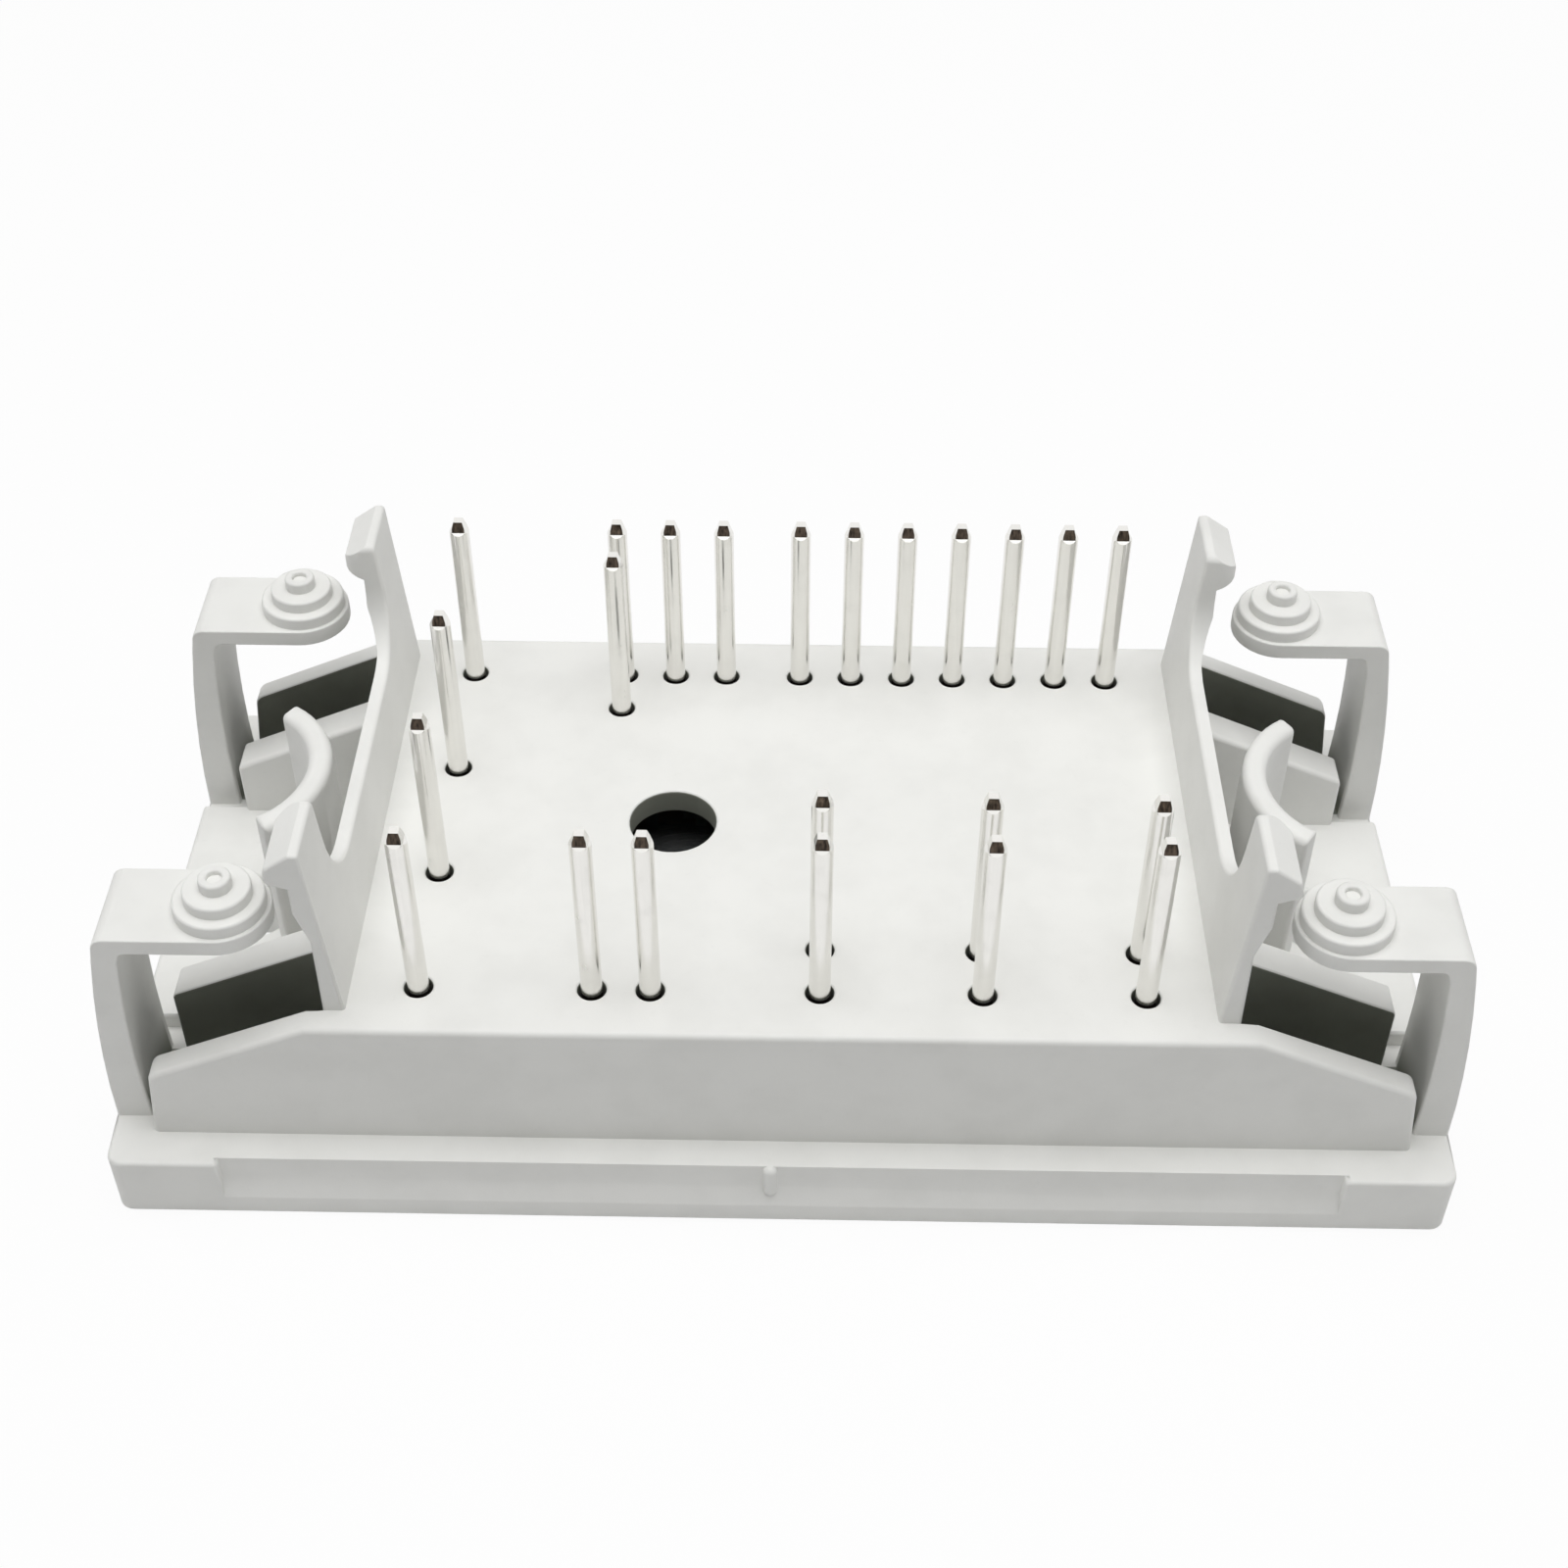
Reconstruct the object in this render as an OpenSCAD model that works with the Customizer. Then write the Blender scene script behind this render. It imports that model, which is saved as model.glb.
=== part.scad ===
// Bridge rectifier power module: a moulded housing with contact pins, snap hooks and stand-off posts,
// closed underneath by a ceramic substrate that carries the chips and meets the heat sink.
// Millimetres. +X is the long axis, +Z points up along the pins, and z = 0 is the heat sink plane.

/* [Box] */
// Length of the top face between the side walls
top_l = 39.8; // [38.6:0.1:43]
// Width over the front and back walls
body_w = 28.2; // [27.6:0.1:30]
// Height of the top face above the heat sink
top_h = 11; // [9.5:0.1:13]
// Thickness of the top
top_t = 1.3; // [0.8:0.1:2]
// Thickness of the front and back walls, and of their wings
wall_t = 1.3; // [1:0.05:1.6]
// Thickness of the box's end walls
end_t = 1.4; // [0.9:0.05:1.8]
// Diameter of the gel filling hole
fill_d = 4.3; // [3:0.1:6]
// Offset of the filling hole from the centre, to the left
fill_x = 5.6; // [3:0.1:9]

/* [Base frame] */
// Length of the base frame
base_l = 63.4; // [61.5:0.1:68]
// Width of the base frame over its end blocks
base_w = 32.1; // [31:0.1:36]
// Height of the base frame's top above the heat sink
base_h = 3.6; // [3:0.1:4.3]
// Gap between the base frame and the heat sink
base_lift = 0.15; // [0.05:0.05:0.25]
// Radius of the base frame's corners
base_r = 0.8; // [0.3:0.1:2]
// Length of the end blocks beside the recessed strip
end_block_l = 5.3; // [3:0.1:9]
// Depth of the recessed strip
recess_d = 0.45; // [0.2:0.05:0.9]
// Height of the rail under the recessed strip
rail_h = 1; // [0.6:0.1:1.4]
// Height of the sloped face above that rail
rail_slope_h = 1.1; // [0.5:0.1:1.4]
// Radius of the moulding gate mark on the recessed strip
gate_r = 0.35; // [0.2:0.05:0.6]
// Wall left over the hollows under the base frame
hollow_roof_t = 1.2; // [0.8:0.1:1.6]
// Wall left around those hollows
hollow_wall_t = 1.6; // [1.2:0.1:2]

/* [Wings and ribs] */
// Distance from the side wall to the start of the wing's slope
wing_kink = 1.8; // [1:0.1:3]
// Drop of the wing's top at its outer end
wing_drop = 3.4; // [2:0.1:5]
// Distance from the wing's foot to the end of the base frame
wing_setback = 1.9; // [1.8:0.1:3]
// Draft of the wing's outer end
wing_draft = 0.45; // [0:0.05:0.8]
// Radius of the wing's outer top corner
wing_r = 0.7; // [0.2:0.1:1.5]
// Width of the pocket between a wing and its rib
pocket_w = 3.75; // [2.5:0.05:4.5]
// Thickness of the ribs
rib_t = 1.9; // [1:0.1:2.5]
// Distance from the rib's outer end to the end of the base frame
rib_setback = 2.45; // [2:0.05:4]

/* [Side walls and snap hooks] */
// Thickness of the side walls
side_t = 1; // [0.7:0.05:1.2]
// Height of the side walls above the top face
side_h = 4.1; // [3:0.1:5.5]
// Radius of the curve from a side wall's top into a hook
hook_root_r = 3.2; // [1:0.1:4.5]
// Height of the hooks above the top face
hook_h = 9.8; // [8.5:0.1:11]
// Outward lean of the hooks over their height
hook_lean = 0.8; // [0.4:0.05:1]
// Length of the hooks along the side walls
hook_w = 3.7; // [2:0.1:4]
// Radius of the hook's inner top corner, seen from the side
hook_top_r = 0.4; // [0.2:0.1:0.8]
// Width of the hook's flat top edge
hook_flat = 0.45; // [0.2:0.05:0.6]
// Reach of the hook's lip past the thick shank
hook_reach = 0.95; // [0.5:0.05:1.4]
// Thickness added to the hook's shank
shank_extra = 0.55; // [0.4:0.05:0.9]
// Height of the circuit board's top above the stand-off shoulder, where the hooks catch
board_t = 1.7; // [1:0.1:2.2]
// Height of the lip's outer face
lip_face_h = 0.65; // [0.4:0.05:0.8]
// Rise of the lip's underside from the shank to the outer face
lip_rise = 0.35; // [0.1:0.05:0.5]
// Radius of the lip's inner corner, seen from above
lip_corner_r = 0.9; // [0.2:0.05:1]

/* [Screw slots] */
// Distance between the two screw axes
screw_span = 55.4; // [53.5:0.1:58]
// Width of the screw slots
screw_slot_w = 4.4; // [3.2:0.1:5]
// Height of the screw head's seat above the heat sink
screw_pad_h = 4.5; // [4.4:0.1:6]
// Outer radius of the curved wall around the screw head
screen_r = 5.5; // [5:0.1:6]
// Thickness of the curved wall
screen_t = 1.2; // [0.8:0.1:1.5]
// Height of the curved wall above the top face
screen_h = 3.5; // [2:0.1:5]
// Angle that the curved wall spans
screen_angle = 112; // [80:2:140]

/* [Posts] */
// Distance between the bosses along the module
boss_span_x = 50.4; // [48.5:0.1:52]
// Distance between the bosses across the module
boss_span_y = 21.7; // [20.5:0.1:22.5]
// Height of the stand-off shoulder above the heat sink
standoff_h = 17; // [16:0.1:19]
// Width of the posts
post_w = 4.6; // [4.4:0.1:5]
// Thickness of the post's top plate
plate_t = 0.9; // [0.6:0.1:1.4]
// Radius of the corner between the plate and the leg
plate_r = 0.6; // [0.2:0.1:0.9]
// Thickness of the leg at the plate
leg_top_t = 1.1; // [0.8:0.05:1.4]
// Thickness of the leg at the base frame
leg_foot_t = 1.7; // [1.2:0.05:1.75]
// Inward lean of the leg's outer face over its height
leg_lean = 1.15; // [0.4:0.05:1.6]
// Diameter of the boss's lower disc
disc_d = 4.2; // [3.6:0.1:4.3]
// Height of the lower disc
disc_h = 0.65; // [0.3:0.05:1]
// Diameter of the shoulder disc that carries the circuit board
shoulder_d = 3.1; // [2.4:0.1:3.5]
// Height of the shoulder disc
shoulder_h = 0.6; // [0.3:0.05:1]
// Diameter of the locating stub
stub_d = 1.5; // [1.2:0.1:2]
// Height of the locating stub
stub_h = 0.6; // [0.3:0.05:1]
// Diameter of the dimple in the stub
dimple_d = 0.7; // [0.4:0.05:0.9]
// Depth of the dimple
dimple_h = 0.25; // [0.1:0.05:0.3]

/* [Pins] */
// Diameter of the pins
pin_d = 1; // [0.7:0.05:1.2]
// Height of the pin tips above the heat sink
pin_tip_h = 21; // [19.5:0.1:22]
// Length of the pin's squared tip
pin_tip_l = 0.55; // [0.3:0.05:0.9]
// Share of the diameter left over the flats at the tip's root
pin_tip_root = 0.74; // [0.72:0.02:0.84]
// Share of the diameter left over the flats at the tip's end
pin_tip_end = 0.44; // [0.4:0.02:0.66]
// Diameter of the solder foot
pin_foot_d = 1.6; // [1.3:0.1:1.8]
// Height of the solder foot
pin_foot_h = 0.4; // [0.2:0.05:0.8]
// Radial clearance of a pin in its hole
pin_clear = 0.17; // [0.08:0.01:0.25]
// Length of the pin field
field_l = 33.5; // [33:0.1:34.3]
// Pitch of the signal pins
pitch = 2.7; // [2.6:0.02:2.8]
// Pitch of the phase pins
phase_pitch = 7.5; // [7.4:0.02:7.6]
// Distance between the two groups of the back row
group_gap = 3.9; // [3.6:0.1:4.2]

/* [Substrate] */
// Thickness of the ceramic plate
ceramic_t = 0.63; // [0.38:0.01:1]
// Thickness of the copper on each side
copper_t = 0.3; // [0.26:0.01:0.4]
// Bare ceramic rim around the copper underneath
rim_w = 1; // [0.5:0.1:1.5]
// Width of the housing's seat on the ceramic
seat_w = 0.9; // [0.6:0.05:1.1]
// Clearance around the ceramic in its seat
seat_clear = 0.1; // [0.05:0.01:0.2]
// Thickness of the adhesive bead
bead_t = 0.2; // [0.1:0.05:0.4]
// Gap between neighbouring copper tracks
track_gap = 0.6; // [0.4:0.05:0.8]
// Bare rim between the tracks and the box walls
track_rim = 0.6; // [0.4:0.05:0.7]

/* [Chips] */
// Thickness of the chips
chip_t = 0.3; // [0.2:0.02:0.5]
// Side of a lower rectifier diode chip
diode_s = 2.2; // [1.6:0.1:2.4]
// Side of an upper rectifier diode chip
upper_diode_s = 2; // [1.4:0.1:2.1]
// Side of a switch chip
switch_s = 2.4; // [1.6:0.1:2.6]
// Side of a freewheel or brake chip
small_s = 1.8; // [1.2:0.1:1.9]
// Length of the thermistor chip
thermistor_l = 2; // [1.6:0.1:2.2]
// Width and height of the thermistor chip
thermistor_s = 1.2; // [0.8:0.1:1.3]
// Width of the bond ribbons
ribbon_w = 0.36; // [0.2:0.02:0.5]
// Thickness of the bond ribbons
ribbon_t = 0.2; // [0.1:0.02:0.3]
// Depth of the silicone gel over the ceramic
gel_h = 6; // [5.4:0.1:7]

/* [Hidden] */
$fn = 48;
// Overlap that fuses features of one moulding
fuse = 0.4;
// Extra length of a cut past the face it opens
past = 1;

// Levels above the heat sink plane
ceramic_z = copper_t;
tracks_z = ceramic_z + ceramic_t;
chips_z = tracks_z + copper_t;
seat_z = tracks_z + bead_t;
gel_top_z = tracks_z + gel_h;
plate_z = standoff_h - shoulder_h - disc_h;
catch_h = standoff_h + board_t - top_h;

// Half sizes of the box, its cavity and the tracks
side_x = top_l / 2;
body_y = body_w / 2;
inner_y = body_y - wall_t;
cavity_x = side_x + side_t - end_t;
cavity_y = inner_y;
ceramic_x = cavity_x + seat_w;
ceramic_y = cavity_y + seat_w;
track_x = cavity_x - track_rim;
track_y = cavity_y - track_rim;

// Places along and across the housing
base_x = base_l / 2;
base_y = base_w / 2;
kink_x = side_x + wing_kink;
wing_foot_x = base_x - wing_setback;
wing_top_x = wing_foot_x - wing_draft;
wing_slope = wing_drop / (wing_top_x - kink_x);
rib_end_x = base_x - rib_setback;
rib_outer_y = inner_y - pocket_w;
rib_inner_y = rib_outer_y - rib_t;
screw_x = screw_span / 2;
boss_x = boss_span_x / 2;
boss_y = boss_span_y / 2;
gate_mark_x = -0.45;

// Outer faces of a hook's shank and lip, measured from the side wall's inner face
shank_x = side_t + shank_extra;
lip_x = shank_x + hook_reach;
// Bevel above the lip's outer face: inwards and up
lip_bevel = [0.1, 0.3];
// Heights above a side wall's top between which the shank thickens
shank_from = 0.3;
shank_to = 2.1;

// Pin places, counted from the back right corner of the pin field
field_w = 3 * phase_pitch;
function from_corner(x, y) = [field_l / 2 - x, field_w / 2 - y];
function group_x(i) = 6 * pitch + group_gap + i * pitch;
PINS = concat(
    [from_corner(group_x(2), pitch)],
    [for (i = [2:-1:0]) from_corner(group_x(i), 0)],
    [for (i = [6:-1:0]) from_corner(i * pitch, 0)],
    [for (i = [0:2], j = [1, 0]) from_corner(i * phase_pitch, field_w - j * pitch)],
    [for (i = [1, 2]) from_corner(group_x(i), field_w)],
    [for (i = [3:-1:0]) from_corner(field_l, i * phase_pitch)]
);

// Layout of the substrate: input phases on the left, output legs on the right
pad_w = pitch - track_gap;
phase_w = phase_pitch - track_gap;
input_x = -field_l / 2;
function input_y(i) = field_w / 2 - (2 - i) * phase_pitch;
phase_x1 = input_x + 4.2;
plus_x0 = phase_x1 + track_gap;
plus_x1 = from_corner(group_x(2), 0)[0] + pad_w / 2;
lower_edge_y = input_y(0) - phase_w / 2;
lower_diode_x = phase_x1 - track_gap - diode_s / 2;
upper_diode_x = plus_x0 + 0.1 + upper_diode_s / 2;
diode_dy = -1.2;
brake_x0 = from_corner(group_x(2), 0)[0] - pad_w / 2;
brake_x1 = from_corner(group_x(1), 0)[0] + pad_w / 2;
brake_switch_at = [(brake_x0 + brake_x1) / 2, lower_edge_y - track_gap - 0.3 - small_s / 2];
brake_diode_at = [plus_x1 - 0.15 - small_s / 2, input_y(0) + phase_pitch / 2 - 0.5];
minus_x0 = from_corner(group_x(0), 0)[0] - pad_w / 2;
minus_x1 = minus_x0 + pad_w;
sense_x1 = minus_x0 - track_gap;
pad_y0 = field_w / 2 - pad_w / 2 - track_gap;
plus_bus_y1 = pad_y0 - track_gap;
plus_bus_y0 = plus_bus_y1 - 5.8;
minus_bus_y1 = plus_bus_y0 - track_gap;
minus_bus_y0 = minus_bus_y1 - 3;
output_y1 = minus_bus_y0 - track_gap;
function leg_x(i) = from_corner((2 - i) * phase_pitch, 0)[0];
function switch_x(i) = leg_x(i) - 0.5 - switch_s / 2;
function freewheel_x(i) = leg_x(i) + small_s / 2;
low_chip_y = output_y1 - 1.6 - switch_s / 2;
high_chip_y = (plus_bus_y0 + plus_bus_y1) / 2 - 0.1;
thermistor_at = [minus_x0 - track_gap / 2, plus_bus_y1 - thermistor_s / 2];

// Chip places: [x, y, side]
RECTIFIER_DIODES = concat(
    [for (i = [0:2]) [lower_diode_x, input_y(i) + diode_dy, diode_s]],
    [for (i = [0:2]) [upper_diode_x, input_y(i) + diode_dy, upper_diode_s]]
);
OUTPUT_SWITCHES = [for (y = [low_chip_y, high_chip_y], i = [0:2]) [switch_x(i), y, switch_s]];
FREEWHEEL_DIODES = [for (y = [low_chip_y, high_chip_y], i = [0:2]) [freewheel_x(i), y, small_s]];
BRAKE_SWITCH = [brake_switch_at[0], brake_switch_at[1], small_s];
BRAKE_DIODE = [brake_diode_at[0], brake_diode_at[1], small_s];

// Bond ribbons: [start, end, start height, end height], each across or along the module
ribbon_in = 0.4;
ribbon_off = 0.55;
chip_top_z = chips_z + chip_t;
function gate_pad(x) = field_l / 2 - round((field_l / 2 - x) / pitch) * pitch;
function clamp_to(v, lo, hi) = max(lo, min(hi, v));
function near_switch(x, i) = clamp_to(x, switch_x(i) - switch_s / 3, switch_x(i) + switch_s / 3);
function gate_ribbon_x(i) = near_switch(gate_pad(switch_x(i)), i);
function ribbon_x(y, x0, x1, z0 = chip_top_z, z1 = chips_z) = [[x0, y], [x1, y], z0, z1];
function ribbon_y(x, y0, y1, z0 = chip_top_z, z1 = chips_z) = [[x, y0], [x, y1], z0, z1];
minus_edge_y = lower_edge_y - track_gap - 2 * ribbon_in;
minus_edge_x = brake_x0 - track_gap - 2 * ribbon_in;
bus_landing_y = minus_bus_y0 + ribbon_in;
output_landing_y = output_y1 - ribbon_in;
RECTIFIER_RIBBONS = concat(
    [for (i = [1, 2], s = [-1, 1])
        ribbon_y(lower_diode_x + s * ribbon_off, input_y(i) + diode_dy - ribbon_in,
            input_y(i - 1) + diode_dy + ribbon_in, chip_top_z, chip_top_z)],
    [for (s = [-1, 1])
        ribbon_y(lower_diode_x + s * ribbon_off, input_y(0) + diode_dy - ribbon_in, minus_edge_y)],
    [for (i = [0:2], s = [-1, 1])
        ribbon_x(input_y(i) + diode_dy + s * ribbon_off, upper_diode_x, phase_x1 - ribbon_in)]
);
BRAKE_RIBBONS = [
    ribbon_x(BRAKE_SWITCH[1], BRAKE_SWITCH[0] - ribbon_in, minus_edge_x),
    ribbon_y(BRAKE_DIODE[0], BRAKE_DIODE[1] - ribbon_in, lower_edge_y - track_gap - ribbon_in)
];
LINK_RIBBONS = [for (i = [1:3])
    ribbon_x(plus_bus_y0 + i * ribbon_off, plus_x1 - ribbon_in, minus_x1 + track_gap + ribbon_in, chips_z)];
OUTPUT_RIBBONS = concat(
    [for (i = [0:2], s = [-1, 1])
        ribbon_y(switch_x(i) + s * ribbon_off, low_chip_y + ribbon_in, bus_landing_y)],
    [for (i = [0:2]) ribbon_y(switch_x(i), high_chip_y - ribbon_in, output_landing_y)],
    [for (i = [0:2]) ribbon_y(freewheel_x(i) - ribbon_off / 2, low_chip_y + ribbon_in, bus_landing_y)],
    [for (i = [0:2]) ribbon_y(freewheel_x(i) + ribbon_off / 2, high_chip_y - ribbon_in, output_landing_y)],
    [for (i = [0:2]) ribbon_y(gate_ribbon_x(i), high_chip_y + 2 * ribbon_in, pad_y0 + ribbon_in)]
);
RIBBONS = concat(RECTIFIER_RIBBONS, BRAKE_RIBBONS, LINK_RIBBONS, OUTPUT_RIBBONS);

// Names of the repeated nodes
function two_digits(n) = str(n < 10 ? "0" : "", n);
function numbered(name, list) = [for (i = [1:len(list)]) str(name, i)];
PIN_NAMES = [for (i = [1:len(PINS)]) str("pin_", two_digits(i))];
RECTIFIER_NAMES = numbered("rectifier_diode_", RECTIFIER_DIODES);
SWITCH_NAMES = numbered("output_switch_", OUTPUT_SWITCHES);
FREEWHEEL_NAMES = numbered("freewheel_diode_", FREEWHEEL_DIODES);

// Colours
PLASTIC = [0.87, 0.87, 0.85];
CERAMIC = [0.93, 0.92, 0.89];
COPPER = [0.80, 0.50, 0.34];
TIN = [0.78, 0.78, 0.77];
SILICON = [0.30, 0.31, 0.36];

// Arc of points that rounds the corner p1 between p0 and p2
function unit(v) = v / norm(v);
function corner(p0, p1, p2, r, n = 5) =
    let (a = unit(p0 - p1), b = unit(p2 - p1))
    let (half = acos(a * b) / 2)
    let (c = p1 + unit(a + b) * r / sin(half))
    let (s = p1 + a * r / tan(half) - c, e = p1 + b * r / tan(half) - c)
    let (a0 = atan2(s[1], s[0]), turn = atan2(s[0] * e[1] - s[1] * e[0], s * e))
    [for (i = [0:n]) c + r * [cos(a0 + turn * i / n), sin(a0 + turn * i / n)]];

// Extrudes an outline drawn in X and Z along +Y, from y0 by the length l
module along_y(y0, l) {
    translate([0, y0 + l, 0])
        rotate([90, 0, 0])
            linear_extrude(l)
                children();
}

// Extrudes an outline drawn in Y and Z along +X, from x0 by the length l
module along_x(x0, l) {
    translate([x0, 0, 0])
        rotate([90, 0, 90])
            linear_extrude(l)
                children();
}

// Box that reaches x and y either side of the axis, between two heights
module centred_box(x, y, z0, z1) {
    translate([-x, -y, z0])
        cube([2 * x, 2 * y, z1 - z0]);
}

// Copies its child to both ends
module both_ends() {
    for (m = [0, 1])
        mirror([m, 0, 0])
            children();
}

// Copies its child to both long sides
module both_sides() {
    for (m = [0, 1])
        mirror([0, m, 0])
            children();
}

// Base frame's outline with round corners
module base_outline() {
    square([base_l - 2 * base_r, base_w], center = true);
    square([base_l, base_w - 2 * base_r], center = true);
    for (x = [-1, 1], y = [-1, 1])
        translate([x * (base_x - base_r), y * (base_y - base_r)])
            circle(base_r);
}

// What is cut away above the rail along a long side
module recess_cut() {
    along_x(-(base_x - end_block_l), 2 * (base_x - end_block_l))
        polygon([
            [-base_y - past, base_lift + rail_h],
            [-base_y, base_lift + rail_h],
            [-base_y + recess_d, base_lift + rail_h + rail_slope_h],
            [-base_y + recess_d, base_h + past],
            [-base_y - past, base_h + past]
        ]);
}

module base_frame() {
    difference() {
        translate([0, 0, base_lift])
            linear_extrude(base_h - base_lift)
                base_outline();
        both_sides()
            recess_cut();
    }
    translate([gate_mark_x, -base_y + recess_d, base_lift + rail_h + rail_slope_h - fuse])
        cylinder(r = gate_r, h = base_h - base_lift - rail_h - rail_slope_h + fuse);
}

// Front or back wall with a wing at each end
module winged_wall() {
    end = [wing_top_x, top_h - wing_drop];
    foot = [wing_foot_x, base_h - fuse];
    round_end = corner([kink_x, top_h], end, foot, wing_r);
    half = concat([[kink_x, top_h]], round_end, [foot]);
    other_half = [for (i = [len(half) - 1:-1:0]) [-half[i][0], half[i][1]]];
    along_y(-body_y, wall_t)
        polygon(concat(half, other_half));
}

// Sloped rib on the screw side of a pocket
module rib() {
    along_y(-rib_outer_y, rib_t)
        polygon([
            [side_x + side_t - fuse, base_h - fuse],
            [side_x + side_t - fuse, top_h],
            [kink_x, top_h],
            [rib_end_x, top_h - wing_slope * (rib_end_x - kink_x)],
            [rib_end_x, base_h - fuse]
        ]);
}

// Section of a side wall and its hooks
module hook_section() {
    low = top_h + side_h;
    catch = top_h + catch_h;
    lip_top = catch + lip_rise + lip_face_h;
    polygon([
        [0, base_h - fuse],
        [0, top_h],
        [hook_lean, top_h + hook_h],
        [hook_lean + hook_flat, top_h + hook_h],
        [lip_x - lip_bevel[0], lip_top + lip_bevel[1]],
        [lip_x, lip_top],
        [lip_x, catch + lip_rise],
        [shank_x, catch],
        [shank_x, low + shank_to],
        [side_t, low + shank_from],
        [side_t, base_h - fuse]
    ]);
}

// Side view of a side wall: low in the middle, curving up into a hook at each end
module hook_silhouette() {
    low = top_h + side_h;
    high = top_h + hook_h;
    end_y = inner_y - hook_w;
    root_r = min(hook_root_r, high - low - 2 * hook_top_r);
    half = concat(
        corner([0, low], [end_y, low], [end_y, high], root_r, 9),
        corner([end_y, low], [end_y, high], [inner_y, high], hook_top_r),
        [[inner_y, high], [inner_y, base_h - fuse]]
    );
    polygon(concat(half, [for (i = [len(half) - 1:-1:0]) [-half[i][0], half[i][1]]]));
}

// What rounds the inner corner of a hook's lip
module lip_corner_cut() {
    end_y = hook_w - inner_y;
    r = min(lip_corner_r, hook_reach);
    arc = corner([0, end_y], [lip_x, end_y], [lip_x, -inner_y], r);
    translate([0, 0, top_h + catch_h - past])
        linear_extrude(hook_h)
            polygon(concat(arc, [
                [lip_x + past, end_y - r],
                [lip_x + past, end_y + past],
                [lip_x - r, end_y + past]
            ]));
}

module side_wall() {
    translate([side_x, 0, 0])
        difference() {
            intersection() {
                along_y(-inner_y, 2 * inner_y)
                    hook_section();
                along_x(-past, lip_x + 2 * past)
                    hook_silhouette();
            }
            both_sides()
                lip_corner_cut();
        }
}

// Curved wall that screens the screw head
module screw_screen() {
    translate([screw_x, 0, 0])
        rotate(180 - screen_angle / 2)
            rotate_extrude(angle = screen_angle)
                translate([screen_r - screen_t, screw_pad_h - fuse])
                    square([screen_t, top_h + screen_h - screw_pad_h + fuse]);
}

// Seat of the screw head, between the ribs
module screw_pad() {
    x0 = side_x + side_t - fuse;
    translate([x0, -rib_inner_y - fuse, base_h - fuse])
        cube([base_x - x0, 2 * (rib_inner_y + fuse), screw_pad_h - base_h + fuse]);
}

module screw_slot() {
    translate([screw_x, 0, -past])
        cylinder(d = screw_slot_w, h = screw_pad_h + 2 * past);
    translate([screw_x, -screw_slot_w / 2, -past])
        cube([base_x - screw_x + past, screw_slot_w, screw_pad_h + 2 * past]);
}

// Section of a post: a curved leg that turns into the top plate
module post_section() {
    leg_h = plate_z - base_h;
    leg_steps = 6;
    function lean(t) = leg_lean * t * t;
    function thick(t) = leg_foot_t + (leg_top_t - leg_foot_t) * t;
    function at_height(t) = base_h + leg_h * t;
    under_t = 1 - (plate_t + plate_r) / leg_h;
    rise = [for (i = [0:leg_steps - 1]) under_t * i / (leg_steps - 1)];
    outer = [for (t = rise) [base_x - lean(t), at_height(t)]];
    inner = [for (i = [leg_steps - 1:-1:0]) outer[i] - [thick(rise[i]), 0]];
    top_corner = [base_x - leg_lean, plate_z];
    under_corner = [base_x - leg_lean - leg_top_t, plate_z - plate_t];
    polygon(concat(
        [[base_x, base_h - fuse]],
        outer,
        corner(outer[leg_steps - 1], top_corner, [boss_x, plate_z], plate_r),
        [[boss_x, plate_z], [boss_x, plate_z - plate_t]],
        corner([boss_x, plate_z - plate_t], under_corner, inner[0], plate_r / 2),
        inner,
        [[base_x - leg_foot_t, base_h - fuse]]
    ));
}

// Stepped boss that carries and locates the circuit board
module boss() {
    translate([boss_x, -boss_y, 0])
        difference() {
            union() {
                translate([0, 0, plate_z - plate_t])
                    cylinder(d = post_w, h = plate_t);
                translate([0, 0, plate_z - fuse])
                    cylinder(d = disc_d, h = disc_h + fuse);
                translate([0, 0, standoff_h - shoulder_h - fuse])
                    cylinder(d = shoulder_d, h = shoulder_h + fuse);
                translate([0, 0, standoff_h - fuse])
                    cylinder(d = stub_d, h = stub_h + fuse);
            }
            translate([0, 0, standoff_h + stub_h - dimple_h])
                cylinder(d = dimple_d, h = dimple_h + past);
        }
}

module post() {
    along_y(-boss_y - post_w / 2, post_w)
        post_section();
    boss();
}

// Hollow under the base frame, beside the screw slot
module base_hollow() {
    x0 = ceramic_x + seat_clear + hollow_wall_t;
    y0 = screw_slot_w / 2 + 2 * hollow_wall_t;
    translate([x0, y0, base_lift - past])
        cube([
            base_x - hollow_wall_t - x0,
            base_y - recess_d - hollow_wall_t - y0,
            base_h - hollow_roof_t - base_lift + past
        ]);
}

module housing() {
    color(PLASTIC)
        difference() {
            union() {
                base_frame();
                centred_box(side_x + side_t, body_y, base_h - fuse, top_h);
                both_sides()
                    winged_wall();
                both_ends() {
                    side_wall();
                    screw_screen();
                    screw_pad();
                    both_sides() {
                        rib();
                        post();
                    }
                }
            }
            centred_box(cavity_x, cavity_y, seat_z - past, top_h - top_t);
            centred_box(ceramic_x + seat_clear, ceramic_y + seat_clear, -past, seat_z);
            both_ends() {
                screw_slot();
                both_sides()
                    base_hollow();
            }
            translate([-fill_x, 0, top_h - top_t - past])
                cylinder(d = fill_d, h = top_t + 2 * past);
            for (p = PINS)
                translate([p[0], p[1], top_h - top_t - past])
                    cylinder(d = pin_d + 2 * pin_clear, h = top_t + 2 * past);
        }
}

module ceramic_substrate() {
    color(CERAMIC)
        centred_box(ceramic_x, ceramic_y, ceramic_z, tracks_z);
}

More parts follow.
